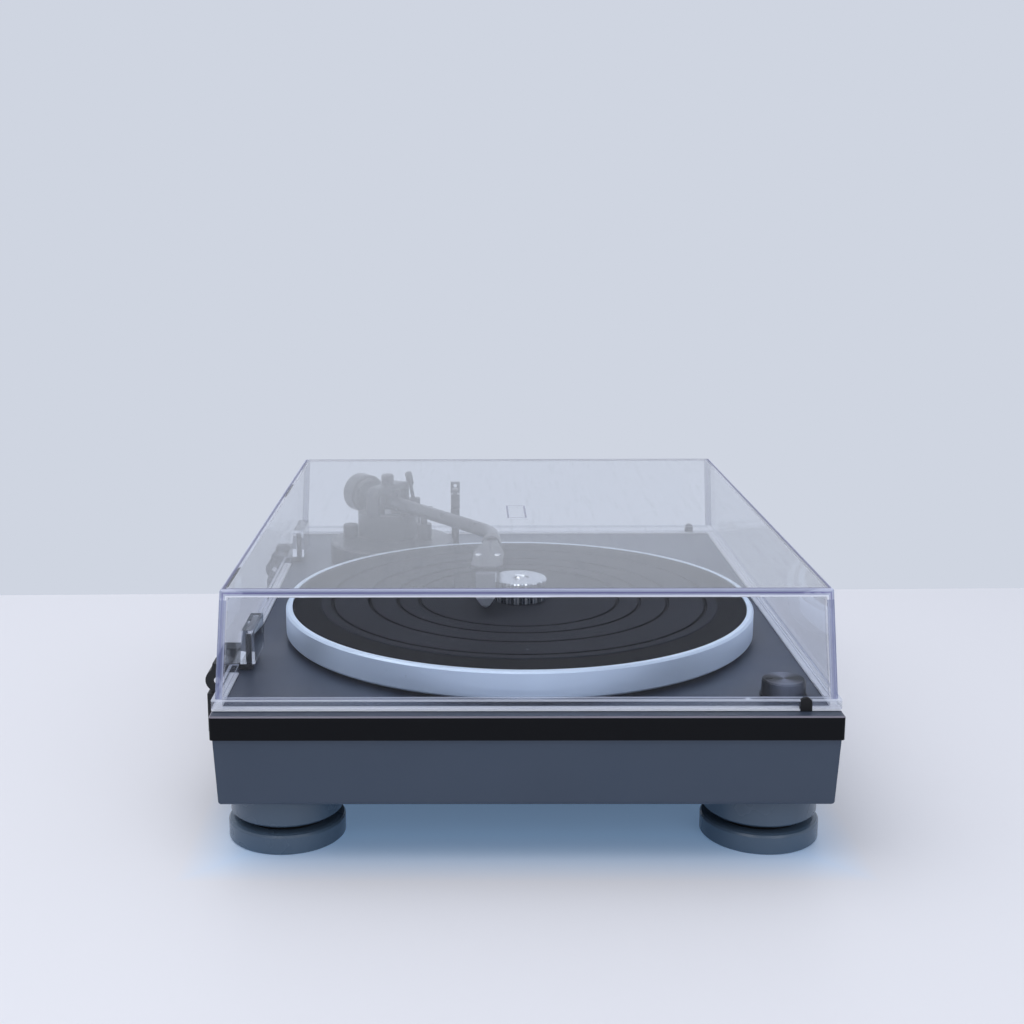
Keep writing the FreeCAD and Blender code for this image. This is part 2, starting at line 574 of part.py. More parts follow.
def make_head():
    here = {"x": BEND_X, "y": BEND_Y, "turn": HEAD_ANGLE}
    collar = new_body("locking_collar")
    turned(collar, [
        ("collar_from", "tube_r + running_gap"), ("collar_from", "collar_r - 0.8"),
        ("collar_from + 0.8", "collar_r"), ("collar_to - 0.8", "collar_r"),
        ("collar_to", "collar_r - 0.8"), ("collar_to", "stub_r + running_gap"),
        ("tube_end + 0.3", "stub_r + running_gap"), ("tube_end + 0.3", "tube_r + running_gap")],
        about="H_Axis")
    place(collar, z="arm_z", **here)

    shell = new_body("headshell")
    plan = [("shell_from", "-neck_half_w"), ("shell_from + shell_taper", "-shell_half_w"),
            ("shell_to - 5", "-shell_half_w"), ("shell_to", "-shell_half_w + 4"),
            ("shell_to", "shell_half_w - 4"), ("shell_to - 5", "shell_half_w"),
            ("shell_from + shell_taper", "shell_half_w"), ("shell_from", "neck_half_w")]
    screw_holes = [("mount_hole_at", f"{side} * mount_hole_half", "head_screw_r + 0.1")
                   for side in (-1, 1)]
    pad(shell, sketch(shell, "XY_Plane", plan, screw_holes, "shell_low"),
        "shell_top - shell_low")
    soften(shell, "Fillet", "1", at_height(size("shell_top")))
    stub = sketch(shell, "YZ_Plane", (), [("0", "arm_z", "stub_r")], "tube_end + 0.6")
    pad(shell, stub, "shell_from + 5 - tube_end")
    place(shell, **here)

    body = new_body("cartridge")
    side = [("cartridge_from + 4", "cartridge_low"), ("cartridge_to - 3", "cartridge_low"),
            ("cartridge_to", "cartridge_low + 3"), ("cartridge_to", "shell_low"),
            ("cartridge_from", "shell_low"), ("cartridge_from", "cartridge_low + 3")]
    pad(body, sketch(body, "XZ_Plane", side), "2 * cartridge_half_w", middle=True)
    ears = span_points("ear_from", "ear_to", "-ear_half_w", "ear_half_w")
    pad(body, sketch(body, "XY_Plane", ears, (), "shell_low - ear_t"), "ear_t")
    cut(body, sketch(body, "XY_Plane", (), screw_holes, "shell_low"), "ear_t")
    place(body, **here)

    stylus = new_body("stylus")
    low = sketch(stylus, "XY_Plane", span_points("tip_at - 0.4", "tip_at + 0.4", "-0.4", "0.4"),
                 (), "tip_z")
    waist = sketch(stylus, "XY_Plane", span_points("stylus_from", "stylus_to - 3", "-2.6", "2.6"),
                   (), "tip_z + 2.6")
    top = sketch(stylus, "XY_Plane", span_points("stylus_from", "stylus_to", "-stylus_half_w",
                                                 "stylus_half_w"), (), "cartridge_low")
    wedge = stylus.newObject("PartDesign::AdditiveLoft", "wedge")
    wedge.Profile = low
    wedge.Sections = [waist, top]
    wedge.Ruled = True
    place(stylus, **here)

    screw_profile = [("0", "shell_low - ear_t"), ("head_screw_r", "shell_low - ear_t"),
                     ("head_screw_r", "shell_top"), ("head_screw_head_r", "shell_top"),
                     ("head_screw_head_r", "shell_top + 0.9"),
                     ("head_screw_head_r - 0.5", "shell_top + 1.4"), ("0", "shell_top + 1.4")]
    screws = []
    for side in (-1, 1):
        along_x = f"mount_hole_at * cos(({HEAD_ANGLE}) * 1 deg)"
        along_y = f"mount_hole_at * sin(({HEAD_ANGLE}) * 1 deg)"
        aside_x = f"{side} * mount_hole_half * sin(({HEAD_ANGLE}) * 1 deg)"
        aside_y = f"{side} * mount_hole_half * cos(({HEAD_ANGLE}) * 1 deg)"
        screws.append(lathe(f"head_screw_{side + 1}", screw_profile,
                            f"{BEND_X} + {along_x} - {aside_x}",
                            f"{BEND_Y} + {along_y} + {aside_y}"))
    group("head_screws", screws)


def make_counterweight():
    here = {"x": "pivot_x", "y": "pivot_c", "z": "arm_z", "turn": "arm_angle"}
    weight = new_body("counterweight")
    turned(weight, [
        ("-weight_from", "tube_r + running_gap"), ("-weight_from", "weight_r - 1"),
        ("-weight_from - 1", "weight_r"), ("-weight_to + 1.4", "weight_r"),
        ("-weight_to", "weight_r - 1.4"), ("-weight_to", "tube_r + running_gap")],
        about="H_Axis")
    place(weight, **here)
    dial = new_body("force_dial")
    turned(dial, [
        ("-dial_from", "tube_r + running_gap"), ("-dial_from", "dial_r - 1.6"),
        ("-dial_from - 1.6", "dial_r"), ("-dial_to", "dial_r"),
        ("-dial_to", "tube_r + running_gap")], about="H_Axis")
    place(dial, **here)


def make_cueing():
    plunger_x = "pivot_x + lift_r * cos(plunger_angle * 1 deg)"
    plunger_y = "pivot_c + lift_r * sin(plunger_angle * 1 deg)"
    start, sweep = size("lift_from"), size("lift_to") - size("lift_from")
    height = size("lift_top") - size("lift_low")
    pivot = Vector(size("pivot_x"), size("pivot_c"), size("lift_low"))
    outer, inner = (Part.makeCylinder(size("lift_r") + side * size("lift_half_w"), height,
                                      Vector(0, 0, 0), Vector(0, 0, 1), sweep)
                    for side in (1, -1))
    arc = outer.cut(inner)
    arc.Placement = Placement(pivot, Rotation(Vector(0, 0, 1), start))
    turn = math.radians(size("plunger_angle"))
    stem_at = Vector(size("pivot_x") + size("lift_r") * math.cos(turn),
                     size("pivot_c") + size("lift_r") * math.sin(turn), size("plunger_low"))
    stem = Part.makeCylinder(size("plunger_r"), size("lift_low") + 1 - size("plunger_low"),
                             stem_at)
    feature("cue_platform", arc.fuse(stem).removeSplitter())

    post = new_body("cue_post")
    pad(post, sketch(post, "XY_Plane", (), [("0", "0", "cue_r")], "base_top"),
        "cue_top - base_top")
    cut(post, sketch(post, "XY_Plane", box_points("cue_slot_half", "cue_r + 1"), (), "cue_top"),
        "cue_top - cue_z + 5")
    cut(post, sketch(post, "YZ_Plane", (), [("0", "cue_z", "tilt_r + running_gap")]), "20",
        middle=True)
    place(post, "cue_x", "cue_c")

    lever = new_body("cue_lever")
    pad(lever, sketch(lever, "YZ_Plane", (), [("0", "0", "3.6")]), "2 * cue_half_w",
        middle=True)
    pad(lever, sketch(lever, "YZ_Plane", (), [("0", "0", "tilt_r")]), "2 * cue_r + 1",
        middle=True)
    pad(lever, sketch(lever, "YZ_Plane", span_points("-1.4", "1.4", "0", "cue_reach")),
        "2 * cue_half_w", middle=True)
    place(lever, "cue_x", "cue_c", "cue_z", "-cue_lean", (1, 0, 0))
    grip = new_body("cue_grip")
    turned(grip, [
        ("0", "cue_reach"), ("0", "cue_grip_to"), ("cue_grip_r - 1", "cue_grip_to"),
        ("cue_grip_r", "cue_grip_to - 1"), ("cue_grip_r", "cue_grip_from + 0.8"),
        ("cue_grip_r - 0.6", "cue_grip_from"), ("2.2", "cue_grip_from"), ("2.2", "cue_reach")])
    place(grip, "cue_x", "cue_c", "cue_z", "-cue_lean", (1, 0, 0))
    lathe("anti_skate_dial", [
        ("0", "base_top"), ("skate_r", "base_top"), ("skate_r", "skate_top - 1"),
        ("skate_r - 1", "skate_top"), ("0", "skate_top")], "skate_x", "skate_c")


def make_armrest():
    rest = new_body("armrest")
    profile = [("rest_left", "rest_low + 6"), ("rest_x - 4", "rest_low"),
               ("rest_x + 4", "rest_low"), ("rest_right", "rest_low + 6"),
               ("rest_right", "rest_wall_top"), ("rest_wall_x", "rest_wall_top"),
               ("rest_wall_x", "rest_floor"), ("rest_lip_x", "rest_floor"),
               ("rest_lip_x", "rest_lip"), ("rest_left", "rest_lip")]
    pad(rest, sketch(rest, "XZ_Plane", profile), "2 * rest_half_w", middle=True)
    middle_x = "(rest_wall_x + rest_right) / 2"
    lug = span_points(f"{middle_x} - 1.5", f"{middle_x} + 1.5", "rest_wall_top - 1", "clip_z")
    pad(rest, sketch(rest, "XZ_Plane", lug), "2 * lug_half_w", middle=True)
    pad(rest, sketch(rest, "XZ_Plane", (), [(middle_x, "clip_z", "1.9")]), "2 * lug_half_w",
        middle=True)
    cut(rest, sketch(rest, "XZ_Plane", (), [(middle_x, "clip_z", "clip_pin_r + running_gap")]),
        "10", middle=True)
    pad(rest, sketch(rest, "XY_Plane", (), [("rest_x", "0", "rest_post_r")], "plate_top"),
        "rest_low + 1 - plate_top")
    place(rest, "0", "rest_c")

    clip = new_body("armrest_clip")
    blade = box_points("clip_half_t", "clip_half_w")
    pad(clip, sketch(clip, "XY_Plane", blade, (), "clip_z + 2.4"), "clip_top - clip_z - 2.4")
    for side in ("", "-"):
        ear = [("-clip_half_t", f"{side}(lug_half_w + 0.3)"),
               ("clip_half_t", f"{side}(lug_half_w + 0.3)"),
               ("clip_half_t", side + "clip_half_w"), ("-clip_half_t", side + "clip_half_w")]
        pad(clip, sketch(clip, "XY_Plane", ear, (), "clip_z - 1.9"), "5")
    pad(clip, sketch(clip, "XZ_Plane", (), [("0", "clip_z", "clip_pin_r")]),
        "2 * clip_half_w", middle=True)
    cut(clip, sketch(clip, "YZ_Plane", (), [("0", "clip_top - 3", "1.4")]), "6", middle=True)
    place(clip, middle_x, "rest_c")


# ---------------------------------------------------------------- hinges and dust cover

def make_hinges():
    pins = []
    knuckle_at = "hinge_half_w - knuckle_w / 2"
    for side, centre in (("left", "-hinge_x"), ("right", "hinge_x")):
        bracket = new_body(f"hinge_bracket_{side}")
        base = span_points("plate_half_y", "hinge_c + 6.4", "bracket_low", "bracket_top")
        pad(bracket, sketch(bracket, "YZ_Plane", base), "2 * hinge_half_w", middle=True)
        neck = span_points("plate_half_y + 0.9", "hinge_c + lug_r", "bracket_top - 1", "hinge_z")
        lug_w = "2 * (hinge_half_w - knuckle_w - 0.5)"
        pad(bracket, sketch(bracket, "YZ_Plane", neck), lug_w, middle=True)
        pad(bracket, sketch(bracket, "YZ_Plane", (), [("hinge_c", "hinge_z", "lug_r")]), lug_w,
            middle=True)
        cut(bracket, sketch(bracket, "YZ_Plane", (), [("hinge_c", "hinge_z", "hinge_pin_r")]),
            "4 * hinge_half_w", middle=True)
        place(bracket, centre)

        pin = new_body(f"hinge_pin_{side}")
        pad(pin, sketch(pin, "YZ_Plane", (), [("hinge_c", "hinge_z", "hinge_pin_r")]),
            "2 * hinge_half_w", middle=True)
        pins.append(place(pin, centre))

        leaf = new_body(f"hinge_leaf_{side}")
        tongue = [("blade_front", "tongue_low"), ("plate_half_y", "tongue_low"),
                  ("plate_half_y", "tongue_top"), ("blade_back", "tongue_top"),
                  ("blade_back", "blade_top"), ("blade_front", "blade_top")]
        pad(leaf, sketch(leaf, "YZ_Plane", tongue), "2 * blade_half_w", middle=True)
        block = [("plate_half_y - 4", "tongue_low"), ("hinge_c", "tongue_low - 2"),
                 ("hinge_c + 4", "tongue_low - 2"), ("hinge_c + 2.6", "block_top"),
                 ("plate_half_y - 4", "block_top")]
        for hand in (-1, 1):
            end = new_body(f"hinge_end_{side}_{hand + 1}")
            pad(end, sketch(end, "YZ_Plane", block, (), f"{hand} * ({knuckle_at})"), "knuckle_w",
                middle=True)
            ring = [("hinge_c", "hinge_z", "knuckle_r")]
            pad(end, sketch(end, "YZ_Plane", (), ring, f"{hand} * ({knuckle_at})"), "knuckle_w",
                middle=True)
            joined = leaf.newObject("PartDesign::Boolean", "knuckle")
            joined.addObject(end)
            joined.Type = "Fuse"
        cut(leaf, sketch(leaf, "YZ_Plane", (), [("hinge_c", "hinge_z",
                                                 "hinge_pin_r + running_gap")]),
            "4 * hinge_half_w", middle=True)
        place(leaf, centre)
    group("hinge_pins", pins)


def make_dust_cover():
    """A drafted shell with a bead round its mouth and two notches for the hinges."""
    cover = new_body("dust_cover")
    for kind, inset, roof in (("Additive", "0", "cover_top"),
                              ("Subtractive", "cover_wall", "cover_top - cover_wall")):
        low = sketch(cover, "XY_Plane", box_points(f"cover_low_half_x - {inset}",
                                                   f"cover_low_half_y - {inset}"), (),
                     "cover_low")
        top = sketch(cover, "XY_Plane", box_points(f"cover_top_half_x - {inset}",
                                                   f"cover_top_half_y - {inset}"), (), roof)
        shell = cover.newObject(f"PartDesign::{kind}Loft", "shell")
        shell.Profile = low
        shell.Sections = [top]
        shell.Ruled = True
    lip = sketch(cover, "XY_Plane", box_points("cover_low_half_x + lip_out",
                                               "cover_low_half_y + lip_out"), (), "cover_low")
    pad(cover, lip, "lip_top - cover_low")
    cut(cover, sketch(cover, "XY_Plane", box_points("cover_low_half_x - cover_wall",
                                                    "cover_low_half_y - cover_wall"), (),
                      "lip_top"), "lip_top - cover_low")

    def outer(edge):
        box = edge.BoundBox
        corner = max(abs(box.XMin), abs(box.XMax)) > size("cover_top_half_x") - 1e-3 and max(
            abs(box.YMin), abs(box.YMax)) > size("cover_top_half_y") - 1e-3
        rising = box.ZLength > 20 or upright(edge)
        return corner and (rising or at_height(size("cover_top"))(edge))
    soften(cover, "Fillet", "cover_round", outer)
    for side in (-1, 1):
        notch = box_points("hinge_half_w + 1.5", "8", f"{side} * hinge_x", "plate_half_y")
        cut(cover, sketch(cover, "XY_Plane", notch, (), "cover_low + 6.8"), "6.8")
    for side in (-1, 1):
        seat = box_points("2", "bumper_half_w", f"{side} * (cover_low_half_x + 1)", "bumper_c")
        cut(cover, sketch(cover, "XY_Plane", seat, (), "bumper_top"), "bumper_top - cover_low")
    place(cover)

    draft = "(cover_low_half_y - cover_top_half_y) / (cover_top - cover_wall - cover_low)"
    back_low = f"cover_low_half_y - cover_wall - 0.05 - ({draft}) * (socket_low - cover_low)"
    back_top = f"cover_low_half_y - cover_wall - 0.05 - ({draft}) * (socket_top - cover_low)"
    sockets = []
    bumpers = []
    for side in (-1, 1):
        socket = new_body(f"cover_socket_{side + 1}")
        outer = [("socket_front", "socket_low"), (back_low, "socket_low"),
                 (back_top, "socket_top"), ("socket_front", "socket_top")]
        pad(socket, sketch(socket, "YZ_Plane", outer), "2 * socket_half_w", middle=True)
        slot = span_points("-blade_half_w - 0.3", "blade_half_w + 0.3", "blade_front - 0.3",
                           "blade_back + 0.3")
        cut(socket, sketch(socket, "XY_Plane", slot, (), "blade_top + 0.4"),
            "blade_top + 0.5 - socket_low")
        sockets.append(place(socket, f"{side} * hinge_x"))
        bumper = new_body(f"cover_bumper_{side + 1}")
        block = span_points("0", "2.6", "bumper_c - bumper_half_w", "bumper_c + bumper_half_w")
        if side < 0:
            block = span_points("-2.6", "0", "bumper_c - bumper_half_w",
                                "bumper_c + bumper_half_w")
        pad(bumper, sketch(bumper, "XY_Plane", block, (), "plate_top + 0.05"),
            "bumper_top - plate_top - 0.05")
        soften(bumper, "Fillet", "bumper_half_w - 0.2",
               lambda edge: along("x")(edge) and edge.BoundBox.ZMax > size("bumper_top") - 1e-3)
        bumpers.append(place(bumper, f"{side} * (cover_low_half_x - 1)"))
    group("cover_sockets", sockets)
    group("cover_bumpers", bumpers)


# ---------------------------------------------------------------- rear sockets

def make_rear_sockets():
    panel = new_body("rear_panel")
    plate = span_points("port_from_x - 6", "port_to_x + 6", "port_low - 4", "port_top + 4")
    rca_places = ("rca_x + rca_pitch / 2", "rca_x - rca_pitch / 2")
    holes = [(x, "port_z", "4.6") for x in rca_places]
    holes += [("ground_x", "port_z", "2"), ("inlet_x", "port_z", "5")]
    pad(panel, sketch(panel, "XZ_Plane", plate, holes, "-panel_y"), "panel_t", back=False)
    cut(panel, sketch(panel, "XZ_Plane", box_points("4.2", "2.2", "switch_x", "port_z"), (),
                      "-panel_y - 1"), "panel_t + 2", back=True)
    cut(panel, sketch(panel, "XZ_Plane", box_points("6.1", "5.5", "usb_x", "port_z"), (),
                      "-panel_y - 1"), "panel_t + 2", back=True)
    place(panel)

    jacks = []
    for x in rca_places:
        jack = new_body("rca_jack")
        turned(jack, [
            ("panel_y - 14", "0"), ("panel_y - 14", "4.6"), ("panel_y", "4.6"),
            ("panel_y", "6.6"), ("panel_y + 1.5", "6.6"), ("panel_y + 1.5", "rca_r"),
            ("rca_out", "rca_r"), ("rca_out", "1.6"), ("rca_out - 8.5", "1.6"),
            ("rca_out - 8.5", "0")], about="H_Axis")
        jacks.append(place(jack, x, "0", "port_z", "90"))
    group("rca_jacks", jacks)

    post = new_body("ground_post")
    turned(post, [
        ("panel_y - 8", "0"), ("panel_y - 8", "3.5"), ("panel_y - panel_t", "3.5"),
        ("panel_y - panel_t", "2"), ("ground_out - 1", "2"), ("ground_out - 1", "0")],
        about="H_Axis")
    place(post, "ground_x", "0", "port_z", "90")
    nut = new_body("ground_nut")
    turned(nut, [
        ("panel_y + 4", "2 + running_gap"), ("panel_y + 4", "4.6"), ("ground_out - 3", "4.6"),
        ("ground_out - 2", "4"), ("ground_out - 2", "2 + running_gap")], about="H_Axis")
    place(nut, "ground_x", "0", "port_z", "90")

    usb = new_body("usb_socket")
    pad(usb, sketch(usb, "XZ_Plane", box_points("6", "5.4", "usb_x", "port_z"), (),
                    "-panel_y - 1"), "16")
    cut(usb, sketch(usb, "XZ_Plane", box_points("4.2", "3.9", "usb_x", "port_z"), (),
                    "-panel_y - 1"), "9", back=True)
    pad(usb, sketch(usb, "XZ_Plane", box_points("2.8", "1.6", "usb_x", "port_z"), (),
                    "-panel_y + 9"), "9", back=True)
    place(usb)

    inlet = new_body("power_inlet")
    turned(inlet, [
        ("panel_y - 12", "0"), ("panel_y - 12", "5"), ("panel_y + 1", "5"),
        ("panel_y + 1", "inlet_r"), ("panel_y - 8", "inlet_r"), ("panel_y - 8", "1"),
        ("panel_y - 0.5", "1"), ("panel_y - 0.5", "0")], about="H_Axis")
    place(inlet, "inlet_x", "0", "port_z", "90")
    slider = new_body("line_switch")
    pad(slider, sketch(slider, "XZ_Plane", box_points("1.9", "1.9", "switch_x - 2", "port_z"),
                       (), "-panel_y - 2"), "panel_t + 5")
    place(slider)


def check_and_write():
    doc.recompute()
    for part in doc.Objects:
        if "Invalid" in part.State or "Error" in part.State:
            raise ValueError(f"{part.Label} failed: {part.State}")
    os.makedirs("parts", exist_ok=True)
    for part in SUB_PARTS:
        if part.Shape.isNull() or not part.Shape.isValid():
            raise ValueError(f"{part.Label} has no valid shape")
    for part in SUB_PARTS:
        part.Shape.exportStep(f"parts/{part.Label}.step")
        solids = len(part.Shape.Solids)
        print(f"{part.Label}: {solids} solid(s), {part.Shape.Volume / 1000:.2f} cm3")
    print(len(SUB_PARTS), "nodes")


make_top_plate()
make_lower_body()
make_bottom_cover()
make_feet()
make_platter()
make_motor()
make_main_board()
make_controls()
make_arm_base()
make_arm_bearings()
make_arm_tube()
make_head()
make_counterweight()
make_cueing()
make_armrest()
make_hinges()
make_dust_cover()
make_rear_sockets()
check_and_write()
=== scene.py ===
import math

import bpy
from mathutils import Matrix, Vector


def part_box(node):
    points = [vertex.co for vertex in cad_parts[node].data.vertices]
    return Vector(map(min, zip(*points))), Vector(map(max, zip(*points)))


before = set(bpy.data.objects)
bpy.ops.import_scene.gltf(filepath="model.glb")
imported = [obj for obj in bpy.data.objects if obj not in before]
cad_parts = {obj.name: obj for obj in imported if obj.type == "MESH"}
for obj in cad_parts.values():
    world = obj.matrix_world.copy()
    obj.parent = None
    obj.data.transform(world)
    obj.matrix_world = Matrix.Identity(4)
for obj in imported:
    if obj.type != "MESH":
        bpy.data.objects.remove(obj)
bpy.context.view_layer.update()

WALL = (0.624, 0.665, 0.753)
TABLE = (0.75, 0.75, 0.785)


# ---------------------------------------------------------------- places, from the frame

def middle(node):
    low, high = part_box(node)
    return (Vector(low) + Vector(high)) / 2


PLATTER = middle("platter")

# the view: yaw, pitch and roll in degrees, and the camera's place from the top plate's middle
VIEW_TURN = (0.41, 11.448, -0.196)
VIEW_FROM = (-0.97008, 0.03077, 0.36228)
VIEW_SHIFT = (0.0503, -0.0134)

# the clear cover: the middle of its mouth, its height, and its half sizes at mouth and top
COVER_FOOT = Vector((0, middle("top_plate").y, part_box("dust_cover")[0][2]))
COVER_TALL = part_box("dust_cover")[1][2] - COVER_FOOT.z
COVER_LOW = (0.216, 0.1743)
COVER_TOP = (0.210, 0.170)
COVER_PANE = 0.0045
COVER_LIP = 0.0062
LABEL_PLACE = (0.003, -0.001)
LABEL_HALF = (0.0195, 0.006)
LABEL_LINE = 0.0006

# painted highlights and dark reflection bands along the cover's edges: position across the band,
# colour and strength
RIM_WIDTH = 0.005
RIM_PAINTED_LIGHT = [
    (0.0, (0.46, 0.50, 0.70), 0.66), (0.28, (0.46, 0.50, 0.70), 0.66),
    (0.34, (0.20, 0.20, 0.42), 0.75), (0.46, (0.20, 0.20, 0.42), 0.75),
    (0.52, (0.50, 0.54, 0.74), 0.60), (0.66, (0.50, 0.54, 0.74), 0.60),
    (0.72, (0.88, 0.90, 0.98), 0.85), (0.84, (0.88, 0.90, 0.98), 0.85),
    (0.92, (0.9, 0.92, 0.98), 0.0)]
ROOF_WIDTH = 0.0032
ROOF_PAINTED_LIGHT = [
    (0.0, (0.52, 0.56, 0.76), 0.7), (0.38, (0.52, 0.56, 0.76), 0.6),
    (0.46, (0.09, 0.09, 0.20), 0.8), (0.84, (0.09, 0.09, 0.20), 0.8),
    (0.94, (0.1, 0.1, 0.2), 0.0)]
MOUTH_WIDTH = 0.0075
MOUTH_PAINTED_LIGHT = [
    (0.0, (0.95, 0.96, 1.0), 0.85), (0.12, (0.95, 0.96, 1.0), 0.85),
    (0.18, (0.5, 0.55, 0.7), 0.06), (0.70, (0.5, 0.55, 0.7), 0.06),
    (0.75, (0.75, 0.79, 0.9), 0.55), (0.83, (0.75, 0.79, 0.9), 0.55),
    (0.88, (0.75, 0.79, 0.9), 0.0)]

# the mat's grooves and its outer step, the adapter's side and the knob's top, as radii and height
GROOVES = (0.1232, 0.0986, 0.0802, 0.0658)
MAT_STEP = 0.1312
ADAPTER_SIDE = 0.0183
KNOB_TOP = 0.0046


# ---------------------------------------------------------------- camera, light and floor

def make_camera():
    """A 50 mm view of the deck's left side from a little above it."""
    yaw, pitch, roll = (math.radians(angle) for angle in VIEW_TURN)
    ahead = Vector((math.cos(yaw) * math.cos(pitch), math.sin(yaw) * math.cos(pitch),
                    -math.sin(pitch)))
    right = Vector((math.sin(yaw), -math.cos(yaw), 0))
    up = right.cross(ahead)
    right, up = (right * math.cos(roll) + up * math.sin(roll),
                 up * math.cos(roll) - right * math.sin(roll))
    data = bpy.data.cameras.new("camera")
    data.lens = 50.0
    data.sensor_width = 36.0
    data.shift_x, data.shift_y = VIEW_SHIFT
    data.clip_start = 0.05
    camera = bpy.data.objects.new("camera", data)
    turn = Matrix((right, up, -ahead)).transposed().to_4x4()
    place = Vector((0, middle("top_plate").y, 0)) + Vector(VIEW_FROM)
    camera.matrix_world = Matrix.Translation(place) @ turn
    bpy.context.scene.collection.objects.link(camera)
    bpy.context.scene.camera = camera


def soft_light(name, place, aim, width, height, watts, colour):
    data = bpy.data.lights.new(name, "AREA")
    data.shape = "RECTANGLE"
    data.size = width
    data.size_y = height
    data.energy = watts
    data.color = colour
    lamp = bpy.data.objects.new(name, data)
    lamp.location = place
    lamp.rotation_euler = (Vector(aim) - Vector(place)).to_track_quat("-Z", "Y").to_euler()
    bpy.context.scene.collection.objects.link(lamp)


def make_world():
    """A pale room, brighter overhead and ahead than behind the camera."""
    world = bpy.data.worlds.new("room")
    bpy.context.scene.world = world
    world.use_nodes = True
    tree = world.node_tree
    tree.nodes.clear()
    coord = tree.nodes.new("ShaderNodeTexCoord")
    split = tree.nodes.new("ShaderNodeSeparateXYZ")
    tree.links.new(coord.outputs["Generated"], split.inputs[0])
    lift = tree.nodes.new("ShaderNodeMath")
    lift.operation = "MULTIPLY_ADD"
    lift.inputs[1].default_value = 0.9
    tree.links.new(split.outputs["Z"], lift.inputs[0])
    tree.links.new(split.outputs["X"], lift.inputs[2])
    spread = tree.nodes.new("ShaderNodeMapRange")
    spread.interpolation_type = "SMOOTHSTEP"
    spread.inputs["From Min"].default_value = -0.9
    spread.inputs["From Max"].default_value = 0.35
    tree.links.new(lift.outputs[0], spread.inputs["Value"])
    blend = tree.nodes.new("ShaderNodeMix")
    blend.data_type = "RGBA"
    blend.inputs["A"].default_value = (0.16, 0.19, 0.24, 1)
    blend.inputs["B"].default_value = (*WALL, 1)
    tree.links.new(spread.outputs[0], blend.inputs["Factor"])
    glow = tree.nodes.new("ShaderNodeBackground")
    tree.links.new(blend.outputs["Result"], glow.inputs["Color"])
    out = tree.nodes.new("ShaderNodeOutputWorld")
    tree.links.new(glow.outputs[0], out.inputs["Surface"])


def floor_plane(name, corners, height, material):
    mesh = bpy.data.meshes.new(name)
    mesh.from_pydata([(x, y, height) for x, y in corners], [], [(0, 1, 2, 3)])
    mesh.materials.append(material)
    made = bpy.data.objects.new(name, mesh)
    bpy.context.scene.collection.objects.link(made)


def table_paint():
    """Pale laminate with a painted bluer shade under the deck and a painted faint blue glow
    there.
    """
    paint = Paint("table_top", TABLE, 0.5)
    across, along, _ = paint.offset(middle("lower_body"))
    past_x = paint.math("SUBTRACT", paint.math("ABSOLUTE", across), 0.215)
    past_y = paint.math("SUBTRACT", paint.math("ABSOLUTE", along), 0.165)
    outside = paint.spread(paint.math("MAXIMUM", past_x, past_y), 0, 1, -0.03, 0.03)
    # painted shade and painted glow: a bluer colour and a faint blue emission under the deck,
    # fading out past its edges
    paint.recolour(paint.mix(outside, (0.40, 0.60, 0.84), TABLE))
    paint.set("Emission Color", (0.40, 0.64, 1.0, 1))
    paint.link(paint.spread(outside, 0.21, 0, 0, 1), paint.shader.inputs["Emission Strength"])
    return paint.material


def make_room():
    """A pale table top that ends behind the deck, against an even pale wall."""
    make_world()
    table = [(-3, -3), (0.4247, -3), (0.300, 3), (-3, 3)]
    floor_plane("table_top", table, 0, table_paint())
    wall = Paint("surround", (0, 0, 0), 1.0, Emission_Color=(*WALL, 1), Emission_Strength=1.0)
    wall.set("Specular IOR Level", 0)
    floor_plane("surround", [(-40, -60), (60, -60), (60, 60), (-40, 60)], -0.002, wall.material)
    soft_light("overhead", (-0.3, 0.5, 2.0), (0, 0, 0), 2.6, 2.2, 26, (1.0, 0.98, 0.96))
    soft_light("front_fill", (-2.2, -1.0, 1.3), (0, 0, 0.1), 1.6, 1.2, 9, (0.93, 0.96, 1.0))
    bpy.context.scene.view_settings.view_transform = "Standard"


# ---------------------------------------------------------------- materials

